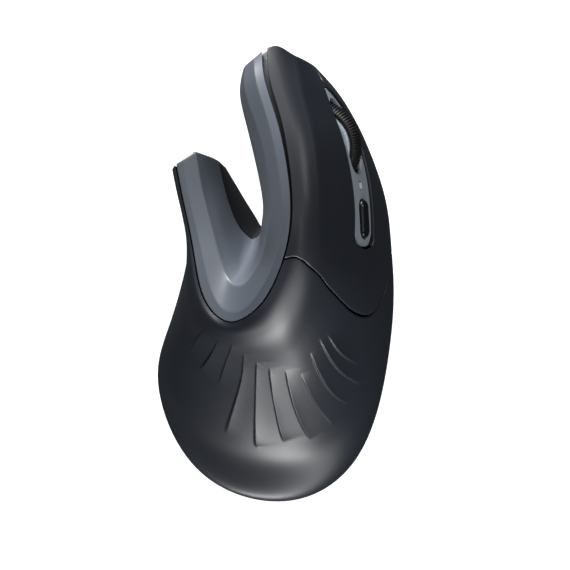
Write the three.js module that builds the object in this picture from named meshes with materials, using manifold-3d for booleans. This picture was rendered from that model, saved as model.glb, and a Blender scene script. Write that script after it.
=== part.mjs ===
// A right-handed vertical computer mouse, in millimetres.
// +X is to the user's right, +Y forward and +Z up; z = 0 is the desk.
//
// The outer form is a horseshoe of cross-sections. Rib 0 is the nose of the tall ridge. The ribs then run back
// along the ridge, round the web of the hand and forward again along the thumb wing, whose tip is rib 15.
// Every rib has two chains of points that start at the saddle's seam: one down the outside, one down the thumb side.
import * as THREE from "three";
import Module from "manifold-3d";
import { mergeVertices } from "three/addons/utils/BufferGeometryUtils.js";

const wasm = await Module();
wasm.setup();

// ---------------------------------------------------------------- driving dimensions
const WALL = 1.6; // moulded shells
const SEAM = 0.3; // gap between neighbouring mouldings
const FOOT_Z = 0.8; // the glide feet lift the base plate by this
const PLATE = 1.6; // base plate thickness
const SHELL_Z = FOOT_Z + PLATE + SEAM; // the shells stand on the base plate
const LAST_RIB = 15;

// Outer side of each rib, from the gap beside the thumb saddle to the foot:
// gap edge, ridge top, crease or shoulder, three points down the face, widest line, foot.
const OUTER_RIBS = [
  [
    [-2.5, 56.4, 50.5], [-1.2, 57.0, 50.6], [4.6, 54.6, 47.8], [6.5, 53.8, 43.8],
    [7.9, 53.1, 39.4], [9.0, 52.5, 33.5], [9.6, 52.0, 24], [8.1, 50.4, SHELL_Z],
  ],
  [
    [-2.0, 48.9, 54.4], [1.4, 48.5, 54.2], [5.9, 47.8, 51.9], [8.9, 47.3, 46.6],
    [11.6, 46.9, 41.2], [13.8, 46.4, 35.0], [15.1, 46.0, 23], [13.4, 44.6, SHELL_Z],
  ],
  [
    [0.2, 40.9, 57.7], [3.6, 40.8, 57.3], [7.7, 40.4, 54.9], [11.0, 40.1, 49.0],
    [14.4, 39.9, 42.4], [17.3, 39.8, 35.2], [19.2, 39.6, 22], [17.4, 38.4, SHELL_Z],
  ],
  [
    [2.2, 32.1, 60.3], [5.6, 32.2, 59.8], [9.5, 32.3, 57.2], [13.1, 32.3, 50.9],
    [17.0, 32.4, 43.3], [20.4, 32.4, 35.2], [22.7, 32.4, 21], [20.9, 31.4, SHELL_Z],
  ],
  [
    [3.6, 20.1, 62.0], [6.9, 19.9, 61.4], [10.6, 19.8, 58.7], [14.9, 19.7, 51.5],
    [19.6, 19.7, 42.8], [24.2, 19.6, 32.6], [27.1, 19.6, 18], [25.4, 19.1, SHELL_Z],
  ],
  [
    [3.1, 9.9, 61.3], [6.0, 9.2, 61.2], [9.8, 8.6, 59.0], [14.6, 8.1, 52.2],
    [20.2, 7.6, 42.8], [25.4, 7.3, 31.6], [28.7, 7.1, 16.5], [27.3, 6.4, SHELL_Z],
  ],
  [
    [0.8, 1.6, 58.5], [3.5, 1.2, 59.0], [7.4, 0.3, 57.8], [13.2, -1.0, 51.9],
    [19.8, -2.4, 42.5], [25.8, -3.4, 30.2], [29.3, -4.0, 14.5], [28.3, -4.4, SHELL_Z],
  ],
  [
    [-2.7, -5.6, 54.0], [-0.2, -6.6, 54.6], [3.4, -8.3, 53.7], [9.6, -11.6, 48.0],
    [16.9, -15.4, 38.3], [23.9, -18.7, 25.2], [28.0, -20.6, 10.5], [27.3, -20.6, SHELL_Z],
  ],
  [
    [-6.8, -9.8, 49.0], [-5.0, -11.3, 49.6], [-2.0, -14.0, 48.7], [2.9, -20.4, 41.8],
    [9.1, -29.0, 31.0], [16.0, -38.0, 17.5], [21.1, -44.4, 5.5], [20.6, -43.8, SHELL_Z],
  ],
  [
    [-11.1, -11.8, 44.2], [-10.9, -13.3, 44.5], [-10.2, -15.8, 43.0], [-8.4, -23.0, 33.0],
    [-4.9, -33.5, 22.5], [-0.4, -46.0, 12.0], [3.1, -56.9, 4.4], [3.1, -56.2, SHELL_Z],
  ],
  [
    [-15.4, -10.1, 40.0], [-16.2, -11.0, 40.1], [-17.2, -12.7, 38.4], [-18.6, -18.6, 26.5],
    [-19.6, -28.0, 16.0], [-19.8, -39.5, 8.8], [-19.5, -49.5, 4.0], [-19.0, -48.8, SHELL_Z],
  ],
  [
    [-19.0, -4.5, 36.6], [-19.8, -4.9, 36.5], [-20.9, -5.8, 34.8], [-23.0, -10.0, 24.5],
    [-25.4, -16.4, 14.5], [-27.9, -22.6, 8.2], [-29.9, -28.4, 3.9], [-29.1, -28.4, SHELL_Z],
  ],
  [
    [-20.8, 3.6, 33.7], [-21.4, 3.4, 33.5], [-22.2, 2.9, 32.0], [-22.8, 0.2, 23.5],
    [-24.1, -4.4, 14.0], [-25.7, -9.0, 8.0], [-27.0, -12.4, 3.9], [-26.3, -12.4, SHELL_Z],
  ],
  [
    [-22.1, 10.9, 31.2], [-22.6, 10.8, 30.9], [-22.9, 10.5, 29.4], [-22.3, 9.4, 22.0],
    [-21.9, 7.8, 13.8], [-22.1, 6.0, 8.0], [-22.6, 4.6, 4.0], [-22.0, 4.8, SHELL_Z],
  ],
  [
    [-24.1, 20.1, 29.1], [-24.6, 20.0, 28.8], [-24.9, 19.7, 27.4], [-23.5, 18.9, 20.6],
    [-22.0, 17.8, 13.3], [-21.2, 16.7, 8.0], [-20.9, 15.9, 4.0], [-20.3, 15.9, SHELL_Z],
  ],
  [
    [-25.6, 27.7, 27.6], [-26.1, 27.2, 27.3], [-26.4, 26.7, 26.0], [-24.2, 26.7, 19.8],
    [-21.2, 26.4, 13.0], [-18.7, 26.2, 8.0], [-17.0, 26.0, 4.0], [-16.4, 25.9, SHELL_Z],
  ],
];

// Thumb side of each rib: outer edge, two facet edges of the saddle, two points down its hollow,
// its lip, and the foot.
const INNER_RIBS = [
  [
    [-3.8, 55.6, 50.4], [-5.9, 53.9, 50.0], [-7.8, 52.4, 47.4], [-8.4, 51.6, 42.0],
    [-7.6, 51.9, 34.0], [-6.0, 52.4, 26], [-3.4, 53.4, SHELL_Z],
  ],
  [
    [-3.2, 48.9, 54.3], [-5.4, 48.4, 54.0], [-8.2, 46.4, 51.0], [-9.3, 45.4, 45.0],
    [-8.4, 45.8, 36.0], [-7.2, 46.2, 26], [-5.4, 46.4, SHELL_Z],
  ],
  [
    [-0.9, 40.9, 57.6], [-3.1, 40.6, 57.3], [-5.9, 38.8, 54.2], [-7.8, 38.2, 47.5],
    [-7.2, 38.6, 37.5], [-6.4, 39.2, 26], [-4.9, 39.4, SHELL_Z],
  ],
  [
    [1.4, 32.1, 60.3], [-0.8, 31.8, 59.9], [-3.5, 30.6, 56.8], [-5.8, 30.6, 50.0],
    [-5.4, 30.8, 38.5], [-4.7, 31.2, 25], [-3.6, 31.4, SHELL_Z],
  ],
  [
    [3.1, 20.1, 62.0], [1.0, 20.0, 61.6], [-1.8, 19.0, 58.0], [-3.5, 19.4, 50.5],
    [-3.5, 19.6, 37.5], [-3.1, 20.0, 23], [-2.3, 20.8, SHELL_Z],
  ],
  [
    [2.7, 9.9, 61.2], [0.8, 10.0, 60.6], [-2.4, 10.8, 56.0], [-3.7, 13.2, 46.0],
    [-3.7, 13.8, 33.0], [-3.5, 14.8, 20.5], [-2.6, 15.8, SHELL_Z],
  ],
  [
    [0.5, 1.7, 58.4], [-1.2, 2.1, 57.4], [-3.9, 4.6, 50.8], [-4.4, 8.6, 39.0],
    [-4.1, 10.6, 27.5], [-4.0, 11.9, 18.8], [-3.2, 13.5, SHELL_Z],
  ],
  [
    [-3.0, -5.4, 53.9], [-4.5, -4.1, 52.6], [-6.4, 0.0, 46.2], [-5.8, 3.6, 37.5],
    [-5.0, 7.2, 26.8], [-4.6, 10.4, 17.9], [-3.7, 12.6, SHELL_Z],
  ],
  [
    [-7.0, -9.6, 48.8], [-7.8, -8.0, 47.9], [-8.6, -2.2, 42.8], [-7.7, 0.9, 36.5],
    [-6.4, 5.2, 26.4], [-5.5, 9.5, 17.5], [-4.0, 12.4, SHELL_Z],
  ],
  [
    [-11.1, -11.5, 44.0], [-11.0, -9.2, 43.6], [-10.5, -2.5, 40.0], [-9.4, 0.0, 35.5],
    [-7.7, 4.8, 26.2], [-6.5, 9.4, 17.5], [-4.3, 12.7, SHELL_Z],
  ],
  [
    [-15.2, -9.9, 39.9], [-14.3, -7.7, 40.0], [-11.8, -1.5, 37.8], [-10.5, 0.8, 34.2],
    [-8.9, 5.6, 25.8], [-7.6, 10.2, 17.8], [-4.7, 13.3, SHELL_Z],
  ],
  [
    [-18.7, -4.4, 36.5], [-16.9, -2.3, 37.0], [-13.2, 1.2, 35.6], [-11.6, 3.5, 32.2],
    [-10.0, 7.9, 25.2], [-8.9, 11.5, 18.5], [-5.4, 14.6, SHELL_Z],
  ],
  [
    [-20.5, 3.7, 33.6], [-18.6, 4.6, 34.4], [-14.8, 6.4, 33.4], [-13.0, 8.9, 29.6],
    [-11.6, 11.6, 24.6], [-10.4, 13.9, 19.3], [-6.5, 16.4, SHELL_Z],
  ],
  [
    [-21.8, 10.9, 31.1], [-20.2, 11.5, 32.0], [-16.8, 13.8, 31.2], [-15.0, 15.9, 27.6],
    [-13.5, 17.1, 23.8], [-12.1, 18.2, 19.8], [-8.2, 19.1, SHELL_Z],
  ],
  [
    [-23.8, 20.1, 29.0], [-22.3, 20.5, 29.9], [-18.9, 22.2, 29.3], [-16.9, 22.9, 26.0],
    [-15.1, 23.1, 22.8], [-13.5, 23.4, 19.8], [-10.7, 23.3, SHELL_Z],
  ],
  [
    [-25.3, 27.9, 27.5], [-23.8, 28.9, 28.4], [-20.4, 31.1, 27.8], [-18.0, 30.3, 24.8],
    [-16.3, 29.7, 22.2], [-14.7, 28.9, 19.6], [-13.2, 27.5, SHELL_Z],
  ],
];

const OUTER = { gap: 0, top: 1, crease: 2, face1: 3, face2: 4, face3: 5, widest: 6, foot: 7 };
const INNER = { edge: 0, facet1: 1, facet2: 2, hollow1: 3, hollow2: 4, lip: 5, foot: 6 };

// ---------------------------------------------------------------- curves and surfaces
// Natural cubic spline through values at 0, 1, 2, ...: returns a function of the knot parameter.
function spline(values) {
  const n = values.length;
  const bend = new Array(n).fill(0);
  const work = new Array(n).fill(0);
  for (let i = 1; i < n - 1; i++) {
    const p = bend[i - 1] / 2 + 2;
    bend[i] = -0.5 / p;
    work[i] = (3 * (values[i + 1] - 2 * values[i] + values[i - 1]) - work[i - 1] / 2) / p;
  }
  for (let i = n - 2; i >= 0; i--) bend[i] = bend[i] * bend[i + 1] + work[i];
  return (t) => {
    const i = Math.min(n - 2, Math.max(0, Math.floor(t)));
    const b = t - i;
    const a = 1 - b;
    return a * values[i] + b * values[i + 1] + ((a ** 3 - a) * bend[i] + (b ** 3 - b) * bend[i + 1]) / 6;
  };
}

// One smooth rail along the horseshoe for each named point of the ribs.
function railsOf(ribs) {
  return ribs[0].map((_, k) => {
    const [x, y, z] = [0, 1, 2].map((c) => spline(ribs.map((rib) => rib[k][c])));
    return (t) => new THREE.Vector3(x(t), y(t), z(t));
  });
}
const outerRails = railsOf(OUTER_RIBS);
const innerRails = railsOf(INNER_RIBS);

// Direction of a smooth curve at point b between a and c, for unequal spacing.
function tangent(a, b, c) {
  const before = b.clone().sub(a);
  const after = c.clone().sub(b);
  const [p, q] = [before.length(), after.length()];
  return before.multiplyScalar(q / (p * (p + q))).add(after.multiplyScalar(p / (q * (p + q))));
}

// Point at parameter s on the chain of points; sharp(k) from 0 to 1 makes point k a crease.
function chain(points, s, sharp) {
  const k = Math.min(points.length - 2, Math.max(0, Math.floor(s)));
  const u = s - k;
  const [a, b] = [points[k], points[k + 1]];
  const span = b.clone().sub(a);
  const length = span.length();
  const secant = span.multiplyScalar(1 / length);
  const at = (i) => {
    if (i === 0 || i === points.length - 1) return secant.clone();
    return tangent(points[i - 1], points[i], points[i + 1]).lerp(secant, sharp(i));
  };
  const [m, n] = [at(k).multiplyScalar(length), at(k + 1).multiplyScalar(length)];
  const [u2, u3] = [u * u, u * u * u];
  return new THREE.Vector3()
    .addScaledVector(a, 2 * u3 - 3 * u2 + 1)
    .addScaledVector(m, u3 - 2 * u2 + u)
    .addScaledVector(b, 3 * u2 - 2 * u3)
    .addScaledVector(n, u3 - u2);
}

const CREASE_ENDS = [3.6, 5.4]; // the crease between ridge top and finger face fades between these ribs
function creaseSharpness(t) {
  return 1 - THREE.MathUtils.smoothstep(t, CREASE_ENDS[0], CREASE_ENDS[1]);
}
function outer(s, t) {
  const points = outerRails.map((rail) => rail(t));
  return chain(points, s, (k) => (k === OUTER.crease ? creaseSharpness(t) : 0));
}
function inner(q, t) {
  const points = innerRails.map((rail) => rail(t));
  return chain(points, q, (k) => (k <= INNER.facet2 || k === INNER.lip ? 1 : 0));
}

// Unit normal of surface f(u, v), turned outwards by sign.
function normalOf(f, u, v, sign) {
  const e = 1e-3;
  const du = f(u + e, v).sub(f(u - e, v));
  const dv = f(u, v + e).sub(f(u, v - e));
  return du.cross(dv).normalize().multiplyScalar(sign);
}
const outerNormal = (s, t) => normalOf(outer, Math.min(s, OUTER.foot - 0.01), t, -1);
const innerNormal = (q, t) => normalOf(inner, q, t, 1);

// Parameters (s, t) of the outer surface above the plan point (x, y), by Newton's method.
function locate(x, y, s, t) {
  const e = 1e-3;
  for (let i = 0; i < 40; i++) {
    const p = outer(s, t);
    const ds = outer(s + e, t).sub(p).multiplyScalar(1 / e);
    const dt = outer(s, t + e).sub(p).multiplyScalar(1 / e);
    const det = ds.x * dt.y - ds.y * dt.x;
    const [gx, gy] = [x - p.x, y - p.y];
    s += THREE.MathUtils.clamp((gx * dt.y - gy * dt.x) / det, -0.4, 0.4);
    t += THREE.MathUtils.clamp((gy * ds.x - gx * ds.y) / det, -0.4, 0.4);
  }
  return [s, t];
}

// Value at x on the broken line through [x, y] pairs, rounded off between them.
function lookup(pairs, x) {
  const last = pairs.length - 1;
  let i = 0;
  while (i < last - 1 && x > pairs[i + 1][0]) i++;
  const slope = (k) => {
    const [a, b] = [pairs[Math.max(0, k - 1)], pairs[Math.min(last, k + 1)]];
    return (b[1] - a[1]) / (b[0] - a[0]);
  };
  const [[x0, y0], [x1, y1]] = [pairs[i], pairs[i + 1]];
  const width = x1 - x0;
  const u = THREE.MathUtils.clamp((x - x0) / width, 0, 1);
  const [u2, u3] = [u * u, u * u * u];
  const ends = y0 * (2 * u3 - 3 * u2 + 1) + y1 * (3 * u2 - 2 * u3);
  return ends + width * (slope(i) * (u3 - 2 * u2 + u) + slope(i + 1) * (u3 - u2));
}

// ---------------------------------------------------------------- solids
// Closed solid of moulding: a grid of cells over the surface lines us x vs, thickened inwards by the wall.
// place(i, j) gives { point, normal, thin } of a grid corner, where thin scales the wall down;
// keep(i, j) says whether a cell is part of the moulding.
function moulding(columns, rows, place, keep = () => true, wall = WALL, lift = 0) {
  const positions = [];
  const index = [];
  const id = (i, j, layer) => 2 * (i * (rows + 1) + j) + layer;
  for (let i = 0; i <= columns; i++) {
    for (let j = 0; j <= rows; j++) {
      const { point, normal, thin = 1 } = place(i, j);
      positions.push(...point.clone().addScaledVector(normal, lift).toArray());
      positions.push(...point.clone().addScaledVector(normal, lift - wall * thin).toArray());
    }
  }
  const inside = (i, j) => i >= 0 && j >= 0 && i < columns && j < rows && keep(i, j);
  const quad = (a, b, c, d) => index.push(a, b, c, a, c, d);
  for (let i = 0; i < columns; i++) {
    for (let j = 0; j < rows; j++) {
      if (!inside(i, j)) continue;
      const corners = [[i, j], [i + 1, j], [i + 1, j + 1], [i, j + 1]];
      const sides = [[i, j - 1], [i + 1, j], [i, j + 1], [i - 1, j]];
      quad(...corners.map(([p, q]) => id(p, q, 0)));
      quad(...corners.map(([p, q]) => id(p, q, 1)).reverse());
      sides.forEach((side, k) => {
        if (inside(...side)) return;
        const [p, q] = [corners[k], corners[(k + 1) % 4]];
        quad(id(...q, 0), id(...p, 0), id(...p, 1), id(...q, 1));
      });
    }
  }
  const geometry = new THREE.BufferGeometry();
  geometry.setAttribute("position", new THREE.Float32BufferAttribute(positions, 3));
  geometry.setIndex(index);
  if (solidOf(geometry).volume() < 0) geometry.setIndex(index.reverse());
  return geometry;
}

function solidOf(geometry) {
  const bare = new THREE.BufferGeometry();
  bare.setAttribute("position", geometry.getAttribute("position"));
  bare.setIndex(geometry.getIndex());
  const merged = mergeVertices(bare, 1e-3);
  const vertProperties = merged.getAttribute("position").array;
  const triVerts = new Uint32Array(merged.index.array);
  return new wasm.Manifold(new wasm.Mesh({ numProp: 3, vertProperties, triVerts }));
}
function geometryOf(solid) {
  const mesh = solid.getMesh();
  const geometry = new THREE.BufferGeometry();
  geometry.setAttribute("position", new THREE.BufferAttribute(mesh.vertProperties, 3));
  geometry.setIndex(new THREE.BufferAttribute(mesh.triVerts, 1));
  return geometry;
}
const join = (first, ...rest) => geometryOf(rest.reduce((sum, g) => sum.add(solidOf(g)), solidOf(first)));
const cut = (first, ...rest) => geometryOf(rest.reduce((left, g) => left.subtract(solidOf(g)), solidOf(first)));

// Box between two corners.
function block(x0, x1, y0, y1, z0, z1) {
  return new THREE.BoxGeometry(x1 - x0, y1 - y0, z1 - z0).translate((x0 + x1) / 2, (y0 + y1) / 2, (z0 + z1) / 2);
}
// Upright cylinder from z0 to z1.
function pin(x, y, radius, z0, z1, segments = 20) {
  const height = z1 - z0;
  const cylinder = new THREE.CylinderGeometry(radius, radius, height, segments);
  return cylinder.rotateX(Math.PI / 2).translate(x, y, z0 + height / 2);
}
// Solid of revolution about the x axis: pairs of [x, radius].
function turned(pairs, segments = 40) {
  const profile = pairs.map(([x, r]) => new THREE.Vector2(r, x));
  return new THREE.LatheGeometry(profile, segments).rotateZ(-Math.PI / 2);
}
// Solid of revolution about the z axis: pairs of [z, radius].
function turnedUp(pairs, segments = 24) {
  const profile = pairs.map(([z, r]) => new THREE.Vector2(r, z));
  return new THREE.LatheGeometry(profile, segments).rotateX(Math.PI / 2);
}
// Round-ended bar along y, from z0 to z1.
function capsule(width, y0, y1, z0, z1, steps = 10) {
  const r = width / 2;
  const shape = new THREE.Shape();
  shape.absarc(0, y1 - r, r, 0, Math.PI, false);
  shape.absarc(0, y0 + r, r, Math.PI, 2 * Math.PI, false);
  const settings = { depth: z1 - z0, bevelEnabled: false, curveSegments: steps };
  return new THREE.ExtrudeGeometry(shape, settings).translate(0, 0, z0);
}
function steps(from, to, count) {
  return Array.from({ length: count + 1 }, (_, i) => from + ((to - from) * i) / count);
}

// ---------------------------------------------------------------- seams, in surface parameters
const PANEL_FOOT = 6.3; // the finger panel reaches below the widest line
const HINGE_T = 4.2; // the button tongues flex here
const STRIP_FRONT_T = 0.95;
const STRIP_END_T = 4.72;
const STRIP_ROUNDING = 0.34;
const STRIP_RECESS = 0.5;
const [GAP_S, GAP_T] = [0.02, 0.02]; // half of a seam, in surface parameters
const TONGUE_SEAM = [
  [0, 5.7], [0.8, 5.6], [1.5, 5.67], [2.3, 5.9], [3.1, 6.25], [3.8, 6.5], [4.4, 6.57],
  [4.8, 6.45], [5.2, 6.1], [5.5, 5.62], [5.8, 5.25], [6.3, 5.08], [7, 5.08],
];
const STRIP_LEFT = [[0, 4.78], [0.4, 4.5], [0.8, 4.2], [1.2, 4.04], [2, 4.0], [3, 4.0], [4, 3.94], [4.7, 3.88]];
const STRIP_RIGHT = [
  [0, 4.78], [0.4, 4.5], [0.8, 4.3], [1.2, 4.84], [1.75, 5.18], [2.5, 5.22], [3.3, 5.06], [4.1, 4.8], [4.7, 4.72],
];
const tongueT = (s) => lookup(TONGUE_SEAM, s);
const stripLeftS = (t) => lookup(STRIP_LEFT, t);
const stripRightS = (t) => lookup(STRIP_RIGHT, t);
const stripEndT = (across) => STRIP_END_T + STRIP_ROUNDING * (1 - (2 * across - 1) ** 4);

// The walls of the seam between the saddle and the outer shells are upright, so its gap is even.
const UP = new THREE.Vector3(0, 0, 1);
const awayFromSeam = (along) => THREE.MathUtils.smoothstep(along, 0, 1);
const uprightAtSeam = (normal, along) => normal.lerp(UP, 1 - awayFromSeam(along)).normalize();
// The wing's outer wall is thinned beside the saddle.
function wingThinning(s, t) {
  const { smoothstep } = THREE.MathUtils;
  return 1 - 0.6 * smoothstep(t, 9, 11) * (1 - smoothstep(s, 1.5, 3));
}
const onOuter = (s, t) => ({
  point: outer(s, t),
  normal: uprightAtSeam(outerNormal(s, t), s),
  thin: wingThinning(s, t),
});
const onInner = (q, t) => ({ point: inner(q, t), normal: uprightAtSeam(innerNormal(q, t), q) });

// Shell of one button: s runs between two edges that depend on t.
function buttonShell(edgeA, edgeB, columns) {
  const ts = steps(0, HINGE_T - GAP_T, 13);
  return moulding(columns, 13, (i, j) => {
    const t = ts[j];
    return onOuter(THREE.MathUtils.lerp(edgeA(t), edgeB(t), i / columns), t);
  });
}
// Rear of the finger panel: it wraps round the end of the strip and ends in a tongue over the palm shell.
function topCover() {
  const [left, middle, right] = [11, 5, 6];
  const [front, rear] = [3, 5];
  const place = (i, j) => {
    const across = THREE.MathUtils.clamp((i - left) / middle, 0, 1);
    const end = i < left || i > left + middle ? STRIP_END_T : stripEndT(across) + GAP_T;
    const sAt = (t) => {
      const [a, b] = [stripLeftS(t) - GAP_S, stripRightS(t) + GAP_S];
      if (i <= left) return (a * i) / left;
      if (i >= left + middle) return THREE.MathUtils.lerp(b, PANEL_FOOT, (i - left - middle) / right);
      return THREE.MathUtils.lerp(a, b, across);
    };
    if (j <= front) {
      const t = THREE.MathUtils.lerp(HINGE_T + GAP_T, end, j / front);
      return onOuter(sAt(t), t);
    }
    const s = sAt(STRIP_END_T);
    return onOuter(s, THREE.MathUtils.lerp(end, tongueT(s) - GAP_T, (j - front) / rear));
  };
  const keep = (i, j) => j >= front || i < left || i >= left + middle;
  return moulding(left + middle + right, front + rear, place, keep);
}
// Palm shell, with the narrow skirt that runs forward under the buttons.
function palmSkin() {
  const ss = [...steps(0, 6, 14), PANEL_FOOT + GAP_S, 6.65, 7];
  const [front, rear] = [12, 26];
  const place = (i, j) => {
    const s = ss[i];
    const seam = tongueT(s) + (s > PANEL_FOOT ? 0 : GAP_T);
    const t = j <= front ? (seam * j) / front : THREE.MathUtils.lerp(seam, LAST_RIB, (j - front) / rear);
    return onOuter(s, t);
  };
  return moulding(ss.length - 1, front + rear, place, (i, j) => j >= front || ss[i] > PANEL_FOOT);
}
function wheelStrip() {
  const columns = 6;
  return moulding(columns, 18, (i, j) => {
    const across = i / columns;
    const t = THREE.MathUtils.lerp(STRIP_FRONT_T, stripEndT(across) - GAP_T, j / 18);
    return onOuter(THREE.MathUtils.lerp(stripLeftS(t) + GAP_S, stripRightS(t) - GAP_S, across), t);
  }, undefined, 1.4, -STRIP_RECESS);
}
const saddleLines = [0, 0.5, 1, 1.5, 2, 2.33, 2.66, 3, 3.33, 3.66, 4, 4.33, 4.66, 5];
const saddleSkin = () => moulding(13, 36, (i, j) => onInner(saddleLines[i], (LAST_RIB * j) / 36));
const thumbWallSkin = () => {
  const skin = moulding(2, 36, (i, j) => onInner(5.03 + (0.97 * i) / 2, (LAST_RIB * j) / 36));
  return cut(skin, block(-40, 40, -70, 70, -5, SHELL_Z));
};

// Dark trim that lies under the seam between the saddle and the finger panel, and shows through it.
const TRIM_DROP = 2.5;
function seamTrim() {
  return moulding(2, 30, (i, j) => {
    const t = 0.1 + (5.3 * j) / 30;
    const [a, b] = [outer(0, t), inner(0, t)];
    const across = b.clone().sub(a).setZ(0).normalize();
    const point = a.addScaledVector(across, -0.9).lerp(b.addScaledVector(across, 0.9), i / 2);
    point.z -= TRIM_DROP;
    return { point, normal: UP };
  }, undefined, 1);
}

// Parameter of the chain at height z, where the chain falls steadily between two parameters.
function atHeight(surface, z, t, high, low) {
  for (let i = 0; i < 30; i++) {
    const middle = (high + low) / 2;
    if (surface(middle, t).z > z) high = middle;
    else low = middle;
  }
  return (high + low) / 2;
}
// Cap that closes the open end of the horseshoe between its two skins, from height top to height bottom.
function endCap(t, top, bottom, bulge, clearance) {
  return moulding(8, 12, (i, j) => {
    const z = THREE.MathUtils.lerp(top, bottom, j / 12);
    const s = atHeight(outer, z, t, 2, 7);
    const q = atHeight(inner, z, t, 2, 6);
    const right = outer(s, t).addScaledVector(outerNormal(s, t), -WALL - clearance);
    const left = inner(q, t).addScaledVector(innerNormal(q, t), -WALL - clearance);
    const point = left.lerp(right, i / 8);
    point.y += bulge * Math.sin((Math.PI * i) / 8);
    point.z = z;
    return { point, normal: new THREE.Vector3(0, 1, 0) };
  }, undefined, 1.4);
}

// Height of the outer skin above a plan point.
const skinHeight = (x, y, s, t) => outer(...locate(x, y, s, t)).z;

// ---------------------------------------------------------------- frames on the finger face
// Frame on the skin above a plan point: x down the face, y forward along it, z outwards.
function skinFrame(x, y, s, t, forward) {
  const [ls, lt] = locate(x, y, s, t);
  const out = outerNormal(ls, lt);
  const ahead = forward.clone().addScaledVector(out, -forward.dot(out)).normalize();
  return new THREE.Matrix4().makeBasis(ahead.clone().cross(out), ahead, out).setPosition(outer(ls, lt));
}
const WHEEL_FRAME = skinFrame(17.9, 35.5, 4.6, 2.5, new THREE.Vector3(-0.39, 0.92, 0));
const DPI_FRAME = skinFrame(22.0, 14.1, 4.4, 4.4, new THREE.Vector3(-0.06, 1, 0));
const LED_FRAME = skinFrame(21.2, 22.4, 4.4, 3.8, new THREE.Vector3(-0.2, 1, 0));
const at = (frame, geometry) => geometry.applyMatrix4(frame);

const WHEEL_RADIUS = 11.5;
const WHEEL_WIDTH = 5.6;
const WHEEL_Z = -9.1; // wheel centre below the skin
const SLOT_WIDTH = 6.4;

function tyre() {
  const [r, h] = [WHEEL_RADIUS, WHEEL_WIDTH / 2];
  const disc = turned([[-h, 0], [-h, r - 1.3], [-h * 0.8, r - 0.5], [-h * 0.45, r - 0.1], [0, r],
    [h * 0.45, r - 0.1], [h * 0.8, r - 0.5], [h, r - 1.3], [h, 0]], 48);
  return cut(disc, turned([[-5, 0], [-5, 9.5], [5, 9.5], [5, 0]], 48)).translate(0, 0, WHEEL_Z);
}
function hub() {
  const profile = [
    [-6.4, 0], [-6.4, 1.1], [-2.9, 1.1], [-2.9, 2.6], [-2.0, 3.2], [-2.0, 7.6], [-2.7, 8.2], [-2.7, 9.2],
    [2.7, 9.2], [2.7, 8.2], [2.0, 7.6], [2.0, 3.2], [2.9, 2.6], [2.9, 1.1], [8.2, 1.1], [8.2, 0],
  ];
  return turned(profile, 48).translate(0, 0, WHEEL_Z);
}
function wheelBracket() {
  const [low, high] = [-12.2, -6.4];
  const arms = [-1, 1].map((side) => {
    const [a, b] = [side * 3.9, side * 4.9].sort((p, q) => p - q);
    const rail = block(a, b, -17, 4, low, low + 2);
    return [rail, block(a, b, -4, 4, low + 1, high), block(a, b, -17, -13.2, low + 1, -8.3)];
  });
  const bridge = block(-4.9, 4.9, -17, -13.2, -9.5, -8.3);
  const bore = turned([[-9, 0], [-9, 1.45], [9, 1.45], [9, 0]], 20).translate(0, 0, WHEEL_Z);
  return cut(join(bridge, ...arms.flat()), bore);
}
function encoder() {
  const bore = turned([[4, 0], [4, 1.45], [12, 1.45], [12, 0]], 20).translate(0, 0, WHEEL_Z);
  return cut(block(5.3, 8.7, -5.5, 5.5, -12.2, -5.4), bore);
}
// Snap-action switch standing on the board: body and plunger.
function snapSwitch(x0, y0, w = 5.8, l = 12.8, h = 6.5) {
  const [px, py] = [x0 + w / 2, y0 + l * 0.66];
  const plunger = block(px - 1.1, px + 1.1, py, py + 1.4, -7, -11.7 + h);
  return join(block(x0, x0 + w, y0, y0 + l, -12.4, -12.4 + h), plunger);
}
function tactSwitch(x, y, w, l, top) {
  const body = block(x - w / 2, x + w / 2, y - l / 2, y + l / 2, -12.4, top - 0.9);
  return join(body, pin(x, y, 1.2, top - 1.2, top, 16));
}
function buttonBoard() {
  return cut(block(-13.2, 15.8, -25.5, 13.2, -13.8, -12.6), capsule(7.8, -11.9, 11.9, -15, -11));
}
// Inner frame: sloping plate behind the board, on two posts that stand on the base.
const POSTS = [[13.5, 17.5], [8, 31]];
function innerFrame() {
  const plate = at(WHEEL_FRAME, cut(block(-10.5, 15.5, -19, 4, -16.8, -15.2), capsule(7.8, -12, 12, -18, -14)));
  const posts = POSTS.map(([x, y]) => pin(x, y, 3, SHELL_Z, 20.6));
  const bores = POSTS.map(([x, y]) => pin(x, y, 1.25, 0, 14));
  return cut(join(plate, ...posts), ...bores);
}

function dpiButton() {
  const pill = new THREE.Shape();
  const [r, half] = [1.9, 4.75];
  pill.absarc(0, half - r, r, 0, Math.PI, false);
  pill.absarc(0, r - half, r, Math.PI, 2 * Math.PI, false);
  const bevel = { bevelThickness: 0.4, bevelSize: 0.5, bevelOffset: -0.5, bevelSegments: 3 };
  const cap = new THREE.ExtrudeGeometry(pill, { depth: 0.9, curveSegments: 8, ...bevel }).translate(0, 0, -1.1);
  return join(cap, pin(0, 0, 1.4, -4.1, -1, 16));
}

// ---------------------------------------------------------------- base
// Screws go up through the base plate into these bosses: x, y and a starting guess on the skin.
const BOSSES = [[2, -42, 4.6, 8.9], [-19.5, -21, 3.6, 10.2], [23.5, -9, 4.6, 6.5]];
const SENSOR = [8, -6];
const POWER = [4, -26];

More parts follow.
